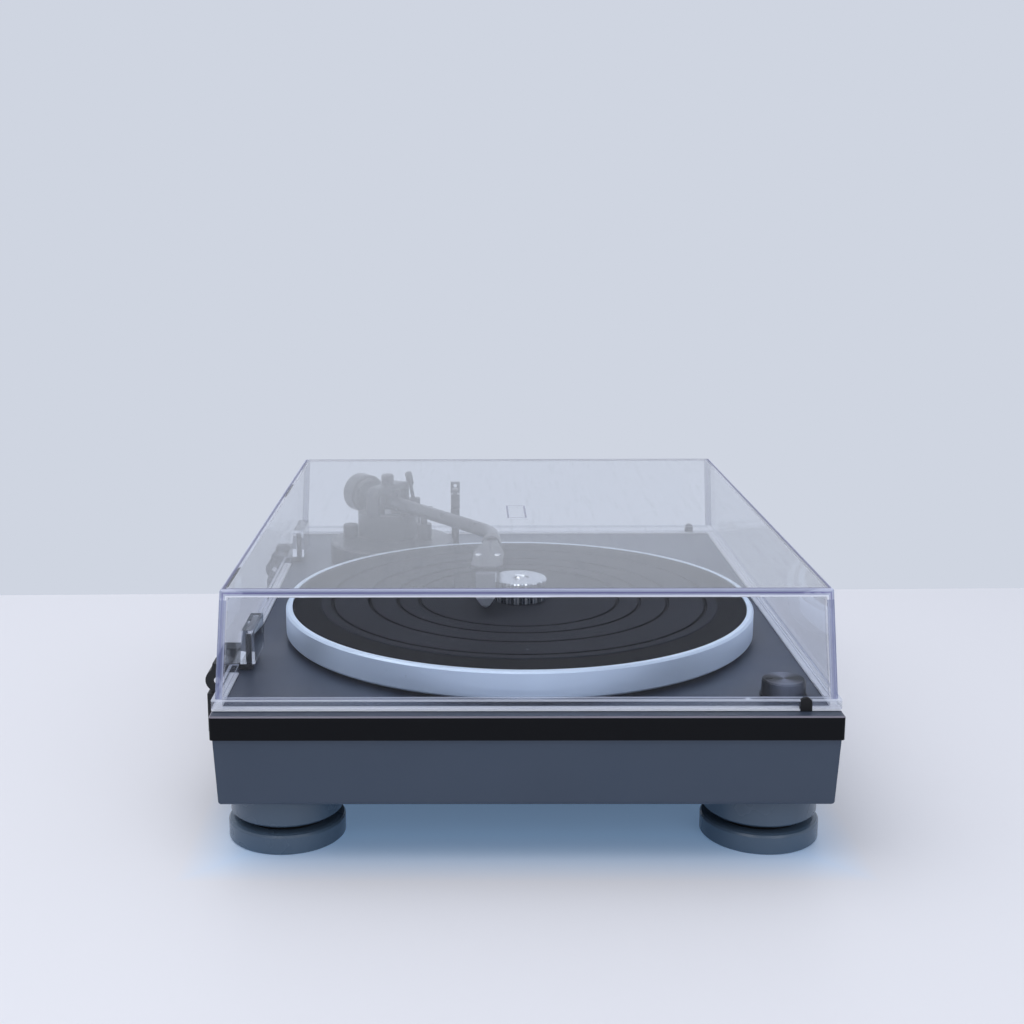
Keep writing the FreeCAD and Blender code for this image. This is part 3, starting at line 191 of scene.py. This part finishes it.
class Paint:
    """A Principled material with helpers for its procedural maps."""

    def __init__(self, name, colour, roughness, metallic=0.0, **sockets):
        self.material = bpy.data.materials.new(name)
        self.material.use_nodes = True
        self.tree = self.material.node_tree
        self.shader = self.tree.nodes["Principled BSDF"]
        self.colour = colour
        self.roughness = roughness
        self.set("Base Color", (*colour, 1))
        self.set("Roughness", roughness)
        self.set("Metallic", metallic)
        for socket, value in sockets.items():
            self.set(socket.replace("_", " "), value)

    def set(self, socket, value):
        self.shader.inputs[socket].default_value = value

    def node(self, kind, **values):
        made = self.tree.nodes.new("ShaderNode" + kind)
        for key, value in values.items():
            setattr(made, key, value)
        return made

    def link(self, out, into):
        self.tree.links.new(out, into)

    def math(self, operation, first, second=None):
        made = self.node("Math", operation=operation)
        for slot, value in enumerate((first, second)):
            if value is None:
                continue
            if isinstance(value, (int, float)):
                made.inputs[slot].default_value = value
            else:
                self.link(value, made.inputs[slot])
        return made.outputs[0]

    def place(self):
        return self.node("TexCoord").outputs["Object"]

    def offset(self, centre):
        """How far along x, y and z from a point, in metres."""
        away = self.node("VectorMath", operation="SUBTRACT")
        away.inputs[1].default_value = centre
        self.link(self.place(), away.inputs[0])
        split = self.node("SeparateXYZ")
        self.link(away.outputs[0], split.inputs[0])
        return tuple(split.outputs)

    def height(self):
        split = self.node("SeparateXYZ")
        self.link(self.place(), split.inputs[0])
        return split.outputs[2]

    def mix(self, factor, first, second):
        """A blend of two colours, each given as numbers or as another node's colour."""
        made = self.node("Mix", data_type="RGBA")
        self.link(factor, made.inputs["Factor"])
        for slot, value in (("A", first), ("B", second)):
            if isinstance(value, tuple):
                made.inputs[slot].default_value = (*value, 1)
            else:
                self.link(value, made.inputs[slot])
        return made.outputs["Result"]

    def mix_shader(self, factor, first, second):
        made = self.node("MixShader")
        for slot, value in enumerate((factor, first, second)):
            self.link(value, made.inputs[slot])
        return made.outputs[0]

    def recolour(self, colour):
        self.link(colour, self.shader.inputs["Base Color"])

    def noise(self, scale, detail=3.0, stretch=(1, 1, 1), rough=0.5):
        fit = self.node("Mapping")
        fit.inputs["Scale"].default_value = stretch
        self.link(self.place(), fit.inputs["Vector"])
        made = self.node("TexNoise")
        made.inputs["Scale"].default_value = scale
        made.inputs["Detail"].default_value = detail
        made.inputs["Roughness"].default_value = rough
        self.link(fit.outputs[0], made.inputs["Vector"])
        return made.outputs[0]

    def spread(self, value, low, high, start=0.3, end=0.7):
        made = self.node("MapRange")
        made.inputs["From Min"].default_value = start
        made.inputs["From Max"].default_value = end
        made.inputs["To Min"].default_value = low
        made.inputs["To Max"].default_value = high
        self.link(value, made.inputs["Value"])
        return made.outputs[0]

    def ramp(self, value, stops):
        """A colour ramp through (position, colour, alpha) stops."""
        made = self.node("ValToRGB")
        points = made.color_ramp.elements
        while len(points) < len(stops):
            points.new(0.5)
        for point, (position, colour, alpha) in zip(points, stops):
            point.position = position
            point.color = (*colour, alpha)
        self.link(value, made.inputs[0])
        return made

    def vary_colour(self, factor, darker, lighter):
        low = tuple(part * darker for part in self.colour)
        high = tuple(min(1, part * lighter) for part in self.colour)
        self.recolour(self.mix(factor, low, high))

    def vary_roughness(self, factor, less, more):
        self.link(self.spread(factor, self.roughness - less, self.roughness + more),
                  self.shader.inputs["Roughness"])

    def bump(self, height, strength, distance):
        made = self.node("Bump")
        made.inputs["Strength"].default_value = strength
        made.inputs["Distance"].default_value = distance
        self.link(height, made.inputs["Height"])
        self.link(made.outputs[0], self.shader.inputs["Normal"])

    def radius(self, centre):
        """Distance from an upright axis through centre, in metres."""
        away = self.node("VectorMath", operation="SUBTRACT")
        away.inputs[1].default_value = centre
        self.link(self.place(), away.inputs[0])
        flat = self.node("VectorMath", operation="MULTIPLY")
        flat.inputs[1].default_value = (1, 1, 0)
        self.link(away.outputs[0], flat.inputs[0])
        length = self.node("VectorMath", operation="LENGTH")
        self.link(flat.outputs[0], length.inputs[0])
        return length.outputs["Value"]


def moulded(name, colour, roughness, grain=900, depth=0.00004, **sockets):
    """Moulded plastic: a fine even grain, faint cloudiness and slightly uneven gloss."""
    paint = Paint(name, colour, roughness, **sockets)
    paint.vary_colour(paint.noise(9, 2), 0.88, 1.14)
    paint.vary_roughness(paint.noise(30, 3), 0.05, 0.05)
    paint.bump(paint.noise(grain, 2, rough=0.6), 0.35, depth)
    return paint.material


def lacquered(name, colour, roughness, coat=0.3):
    """Painted metal: a smooth satin coat with a slight orange peel."""
    paint = Paint(name, colour, roughness, Coat_Weight=coat, Coat_Roughness=0.12)
    paint.vary_colour(paint.noise(14, 2), 0.85, 1.15)
    paint.vary_roughness(paint.noise(60, 3), 0.05, 0.06)
    paint.bump(paint.noise(380, 2), 0.15, 0.00003)
    return paint.material


def turned_metal(name, colour, roughness, centre, pitch=2600, metallic=1.0):
    """Metal turned on a lathe: fine rings about an upright axis."""
    paint = Paint(name, colour, roughness, metallic)
    rings = paint.math("SINE", paint.math("MULTIPLY", paint.radius(centre), pitch * math.tau))
    paint.vary_colour(paint.noise(40, 2), 0.94, 1.04)
    paint.vary_roughness(paint.noise(150, 3, (1, 1, 8)), 0.05, 0.06)
    paint.bump(rings, 0.10, 0.00002)
    return paint.material


def rubber(name, colour, roughness=0.75):
    paint = Paint(name, colour, roughness)
    paint.vary_colour(paint.noise(25, 3), 0.8, 1.25)
    paint.bump(paint.noise(1400, 2, rough=0.7), 0.4, 0.00004)
    return paint.material


def clear_acrylic(name, edged=True):
    """Clear acrylic that lets lamps through, with a faint film of dust and painted highlights and
    dark bands along its edges.
    """
    paint = Paint(name, (0.955, 0.965, 0.985), 0.01, Transmission_Weight=1.0, IOR=1.49)
    path = paint.node("LightPath")
    through = paint.node("BsdfTransparent")
    through.inputs["Color"].default_value = (0.93, 0.94, 0.96, 1)
    surface = paint.mix_shader(path.outputs["Is Shadow Ray"], paint.shader.outputs[0],
                               through.outputs[0])
    if edged:
        surface = thin_walls(paint, surface)
        surface = add_cover_film_and_edge_light(paint, surface)
    out = paint.tree.nodes["Material Output"]
    paint.link(surface, out.inputs["Surface"])
    tint = paint.node("VolumeAbsorption")
    tint.inputs["Color"].default_value = (0.62, 0.68, 0.95, 1)
    tint.inputs["Density"].default_value = 1.2
    paint.link(tint.outputs[0], out.inputs["Volume"])
    return paint.material


def thin_walls(paint, surface):
    """The side walls are seen nearly face on: clear, with a weak mirror image."""
    walls = paint.math("LESS_THAN", paint.height(), COVER_FOOT.z + COVER_TALL - COVER_PANE)
    straight = paint.node("BsdfTransparent")
    straight.inputs["Color"].default_value = (0.955, 0.965, 0.985, 1)
    mirror = paint.node("BsdfGlossy")
    mirror.inputs["Roughness"].default_value = 0.02
    fresnel = paint.node("Fresnel")
    fresnel.inputs["IOR"].default_value = 1.49
    wall = paint.mix_shader(paint.math("MULTIPLY", fresnel.outputs[0], 0.35),
                            straight.outputs[0], mirror.outputs[0])
    return paint.mix_shader(walls, surface, wall)


def cover_gaps(paint, across, along, height):
    """How far a point on the cover is inside each face's edge, and below its top."""
    def inside(low, high, reach):
        return paint.math("SUBTRACT", paint.spread(height, low, high, 0, COVER_TALL),
                          paint.math("ABSOLUTE", reach))

    gap_z = paint.math("SUBTRACT", paint.math("MULTIPLY", height, -1), -COVER_TALL)
    return (inside(COVER_LOW[0], COVER_TOP[0], across), inside(COVER_LOW[1], COVER_TOP[1], along),
            gap_z)


def cover_label(paint, across, along):
    """The outline of a plain empty label."""
    frame_x = paint.math("ABSOLUTE", paint.math("ADD", across, LABEL_PLACE[0]))
    frame_y = paint.math("ABSOLUTE", paint.math("SUBTRACT", along, LABEL_PLACE[1]))
    past = paint.math("MAXIMUM", paint.math("SUBTRACT", frame_x, LABEL_HALF[0]),
                      paint.math("SUBTRACT", frame_y, LABEL_HALF[1]))
    return paint.math("LESS_THAN", paint.math("ABSOLUTE", past), LABEL_LINE)


def add_cover_film_and_edge_light(paint, surface):
    """Lays a dust film, a plain label frame and painted highlights and dark bands along the rims
    over the clear shader.
    """
    across, along, height = paint.offset(COVER_FOOT)
    gap_x, gap_y, gap_z = cover_gaps(paint, across, along, height)
    least = paint.math("MINIMUM", gap_x, gap_y)
    most = paint.math("MAXIMUM", gap_x, gap_y)
    edge = paint.math("MAXIMUM", least, paint.math("MINIMUM", most, gap_z))
    upper = paint.math("GREATER_THAN", height, COVER_LIP)
    on_top = paint.math("LESS_THAN", paint.math("ABSOLUTE", gap_z), 0.0005)
    standing = paint.math("MULTIPLY", paint.math("GREATER_THAN", gap_z, 0.006), 0.7)

    # painted highlights and dark reflection bands along the rims, the top's edge and the mouth;
    # the walls' rim bands are painted mostly dark blue
    rim = paint.ramp(paint.spread(edge, 0, 1, 0, RIM_WIDTH), RIM_PAINTED_LIGHT)
    roof = paint.ramp(paint.spread(edge, 0, 1, 0, ROOF_WIDTH), ROOF_PAINTED_LIGHT)
    mouth = paint.ramp(paint.spread(height, 0, 1, 0, MOUTH_WIDTH), MOUTH_PAINTED_LIGHT)
    wall_colour = paint.mix(standing, rim.outputs["Color"], (0.15, 0.18, 0.36))
    rim_colour = paint.mix(on_top, wall_colour, roof.outputs["Color"])
    colour = paint.mix(upper, mouth.outputs["Color"], rim_colour)
    rim_amount = paint.math("MAXIMUM", paint.math("MULTIPLY", roof.outputs["Alpha"], on_top),
                            paint.math("MULTIPLY", rim.outputs["Alpha"],
                                       paint.math("SUBTRACT", upper, on_top)))
    amount = paint.math("MAXIMUM", rim_amount, mouth.outputs["Alpha"])

    label = paint.math("MULTIPLY", paint.math("MULTIPLY", cover_label(paint, across, along),
                                              on_top), 0.5)
    scratches = paint.noise(60, 4, (0.35, 5, 1), 0.7)
    film = paint.math("MULTIPLY", paint.spread(scratches, 0, 0.10, 0.52, 0.85), on_top)
    dust = paint.spread(paint.noise(650, 2, rough=0.4), 0, 0.3, 0.76, 0.82)
    film = paint.math("MAXIMUM", paint.math("MAXIMUM", film, dust), 0.004)
    # one diffuse layer carries the dust film, the label and the painted edge highlights and dark
    # bands
    film_and_edge_light = paint.node("BsdfPrincipled")
    film_and_edge_light.inputs["Roughness"].default_value = 0.3
    paint.link(colour, film_and_edge_light.inputs["Base Color"])
    cover = paint.math("MAXIMUM", paint.math("MAXIMUM", amount, label), film)
    return paint.mix_shader(cover, surface, film_and_edge_light.outputs[0])


def plinth_top(name):
    """Satin black board: smudged and glossy on top with a painted lighter bluish sheen there,
    duller at its sides, and a painted highlight at its bevel.
    """
    paint = Paint(name, (0.0022, 0.0027, 0.0042), 0.34)
    smudge_and_sheen = paint.noise(7, 4, (1, 1, 1), 0.65)
    depth = paint.math("SUBTRACT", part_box("top_plate")[1][2], paint.height())
    top = paint.math("LESS_THAN", depth, 0.0001)
    bevel = paint.math("SUBTRACT", paint.math("LESS_THAN", depth, 0.00095), top)
    black = paint.mix(smudge_and_sheen, tuple(part * 0.8 for part in paint.colour),
                      tuple(part * 1.5 for part in paint.colour))
    # painted sheen: the top face is painted lighter and bluer, in patches from the same noise
    # that varies its roughness
    top_sheen = paint.mix(paint.spread(smudge_and_sheen, 0.5, 1.0, 0.35, 0.65), (0.006, 0.009, 0.015),
                    (0.034, 0.048, 0.080))
    # painted highlight: the bevel is painted a pale grey
    paint.recolour(paint.mix(bevel, paint.mix(top, black, top_sheen), (0.21, 0.195, 0.235)))
    paint.link(paint.spread(top, 0.14, 0.75, 0, 1), paint.shader.inputs["Specular IOR Level"])
    paint.link(paint.spread(smudge_and_sheen, 0.26, 0.50, 0.35, 0.65), paint.shader.inputs["Roughness"])
    paint.bump(paint.noise(1500, 2, rough=0.6), 0.10, 0.00002)
    return paint.material


def mat_rubber():
    """Rubber in rings: a dull field, a blacker outer step, grooves with painted black shade and a
    little dust.
    """
    paint = Paint("mat_rubber", (0.0135, 0.0150, 0.0205), 0.62)
    paint.set("Specular IOR Level", 0.12)
    away = paint.radius(PLATTER)
    rings = paint.math("SINE", paint.math("MULTIPLY", away, 700 * math.tau))
    field = paint.mix(paint.noise(14, 4), (0.0095, 0.0105, 0.0145), (0.0190, 0.0210, 0.0285))
    black = paint.math("GREATER_THAN", away, MAT_STEP)
    # painted shade: the grooves are painted black
    for groove in GROOVES:
        off = paint.math("ABSOLUTE", paint.math("SUBTRACT", away, groove))
        black = paint.math("MAXIMUM", black, paint.spread(off, 1, 0, 0.0010, 0.0017))
    darker = paint.mix(paint.math("MULTIPLY", black, 0.85), field, (0.0006, 0.0006, 0.0010))
    speck = paint.spread(paint.noise(520, 2, rough=0.3), 0, 0.5, 0.755, 0.80)
    paint.recolour(paint.mix(speck, darker, (0.30, 0.32, 0.36)))
    height = paint.math("MULTIPLY_ADD", paint.noise(420, 4, rough=0.75), 0.5)
    paint.link(rings, height.node.inputs[2])
    paint.bump(height, 0.3, 0.0001)
    return paint.material


def spun_knob(name, centre):
    """Black anodised knob: glossy side, and a spun top with a painted highlight that fans out."""
    paint = Paint(name, (0.0045, 0.0050, 0.0065), 0.16, 0.2)
    paint.set("Specular IOR Level", 0.18)
    across, along, height = paint.offset(centre)
    turn = paint.math("ARCTAN2", along, across)
    fan_highlight = paint.math("POWER", paint.math("ABSOLUTE", paint.math("COSINE", turn)), 3.0)
    top = paint.math("GREATER_THAN", height, KNOB_TOP)
    # painted highlight: the spun top's colour rises up to 34 times in a fanning pattern round the
    # knob's axis
    paint.vary_colour(paint.math("MULTIPLY", fan_highlight, top), 1.0, 34.0)
    paint.link(paint.spread(top, 0.16, 0.34, 0, 1), paint.shader.inputs["Roughness"])
    rings = paint.math("SINE", paint.math("MULTIPLY", paint.radius(centre), 3000 * math.tau))
    paint.bump(paint.math("MULTIPLY", rings, top), 0.25, 0.00003)
    return paint.material


def polished_disc(name, centre):
    """Polished metal disc: fine rings on its face, and painted upright light and dark reflection
    streaks on its side.
    """
    paint = Paint(name, (0.70, 0.74, 0.80), 0.16, 0.9)
    across, along, _ = paint.offset(centre)
    turn = paint.math("ARCTAN2", along, across)
    streaks = paint.math("ADD", paint.math("SINE", paint.math("MULTIPLY", turn, 19)),
                         paint.math("SINE", paint.math("MULTIPLY", turn, 47)))
    side = paint.math("GREATER_THAN", paint.radius(centre), ADAPTER_SIDE)
    # painted reflection: light and dark streaks round the side
    shade = paint.ramp(paint.spread(streaks, 0, 1, -2, 2), [
        (0.0, (0.02, 0.03, 0.05), 1), (0.42, (0.06, 0.09, 0.13), 1),
        (0.55, (0.45, 0.52, 0.60), 1), (0.74, (0.95, 0.97, 1.0), 1)])
    paint.recolour(paint.mix(side, (0.68, 0.72, 0.77), shade.outputs["Color"]))
    rings = paint.math("SINE", paint.math("MULTIPLY", paint.radius(centre), 3000 * math.tau))
    paint.bump(rings, 0.2, 0.00002)
    return paint.material


def jack_paint(name):
    """Gilt barrels in insulating rings: white for the left channel and red for the right."""
    paint = Paint(name, (0.75, 0.56, 0.27), 0.22, 1.0)
    side, _, rise = paint.offset(Vector((middle("rca_jacks").x, 0, middle("rca_jacks").z)))
    off_x = paint.math("SUBTRACT", paint.math("ABSOLUTE", side), 0.008)
    reach = paint.math("POWER", paint.math("ADD", paint.math("MULTIPLY", off_x, off_x),
                                           paint.math("MULTIPLY", rise, rise)), 0.5)
    ring = paint.math("GREATER_THAN", reach, 0.0044)
    channel = paint.mix(paint.math("GREATER_THAN", side, 0), (0.45, 0.01, 0.01),
                        (0.72, 0.72, 0.70))
    paint.recolour(paint.mix(ring, paint.colour, channel))
    paint.link(paint.math("SUBTRACT", 1.0, ring), paint.shader.inputs["Metallic"])
    paint.vary_roughness(paint.noise(200, 3), 0.05, 0.08)
    return paint.material


def make_materials():
    black = (0.010, 0.011, 0.014)
    return {
        "plinth": plinth_top("plinth_black"),
        "tray": moulded("plinth_grey", (0.043, 0.064, 0.102), 0.5, 1500, 0.00006),
        "base": moulded("base_black", black, 0.5),
        "foot": moulded("foot_black", (0.080, 0.120, 0.172), 0.26, 500, 0.00002),
        "rubber": rubber("rubber_black", (0.006, 0.006, 0.008)),
        "mat": mat_rubber(),
        "platter": turned_metal("platter_aluminium", (0.73, 0.84, 0.98), 0.42, PLATTER, 2200,
                                0.5),
        "adapter": polished_disc("adapter_aluminium", PLATTER),
        "steel": turned_metal("polished_steel", (0.75, 0.77, 0.8), 0.18, PLATTER, 4000),
        "arm": lacquered("arm_black", black, 0.36),
        "pickup": moulded("pickup_grey", (0.16, 0.17, 0.20), 0.2, 900, 0.00001),
        "needle": moulded("stylus_clear", (0.46, 0.48, 0.53), 0.16, 900, 0.00001),
        "tube": lacquered("tube_black", black, 0.22, 0.5),
        "knob": spun_knob("knob_black", middle("speed_knob")),
        "brass": turned_metal("brass_plate", (0.75, 0.56, 0.27), 0.22, PLATTER),
        "jacks": jack_paint("gilt_jacks"),
        "copper": turned_metal("copper_coils", (0.55, 0.25, 0.12), 0.4, PLATTER),
        "board": moulded("circuit_board", (0.02, 0.12, 0.05), 0.45),
        "magnet": moulded("magnet", (0.06, 0.06, 0.065), 0.6),
        "white": moulded("switch_white", (0.6, 0.6, 0.6), 0.45),
        "clear": clear_acrylic("cover_clear"),
        "socket": clear_acrylic("socket_clear", edged=False),
        "lens": moulded("indicator_lens", (0.75, 0.8, 0.9), 0.2),
    }


LOOKS = {
    "plinth": ["top_plate"],
    "tray": ["lower_body"],
    "base": ["bottom_cover", "speed_switch", "hinge_bracket_left", "hinge_bracket_right",
             "hinge_leaf_left", "hinge_leaf_right", "rear_panel", "power_inlet"],
    "foot": [f"foot_{kind}_{end}_{side}" for kind in ("pad", "neck") for end in ("front", "rear")
             for side in ("left", "right")],
    "rubber": ["foot_dampers", "cue_grip", "cue_platform", "cover_bumpers"],
    "mat": ["platter_mat"],
    "platter": ["platter"],
    "adapter": ["adapter_45"],
    "steel": ["spindle", "base_screws", "hinge_pins", "ground_post", "usb_socket", "tilt_axle",
              "head_screws"],
    "arm": ["arm_base", "arm_pillar", "bearing_yoke", "yoke_cap", "gimbal", "cue_post",
            "cue_lever", "armrest", "armrest_clip", "anti_skate_dial", "force_dial",
            "headshell", "locking_collar", "counterweight"],
    "pickup": ["cartridge"],
    "needle": ["stylus"],
    "tube": ["arm_tube"],
    "knob": ["speed_knob"],
    "jacks": ["rca_jacks"],
    "brass": ["ground_nut", "bearing_housing"],
    "copper": ["motor_stator"],
    "board": ["main_board"],
    "magnet": ["rotor_magnet"],
    "white": ["line_switch"],
    "clear": ["dust_cover"],
    "socket": ["cover_sockets"],
    "lens": ["indicator_lens"],
}


def dress(materials):
    for look, names in LOOKS.items():
        for name in names:
            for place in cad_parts[name].material_slots:
                place.material = materials[look]


make_camera()
make_room()
dress(make_materials())
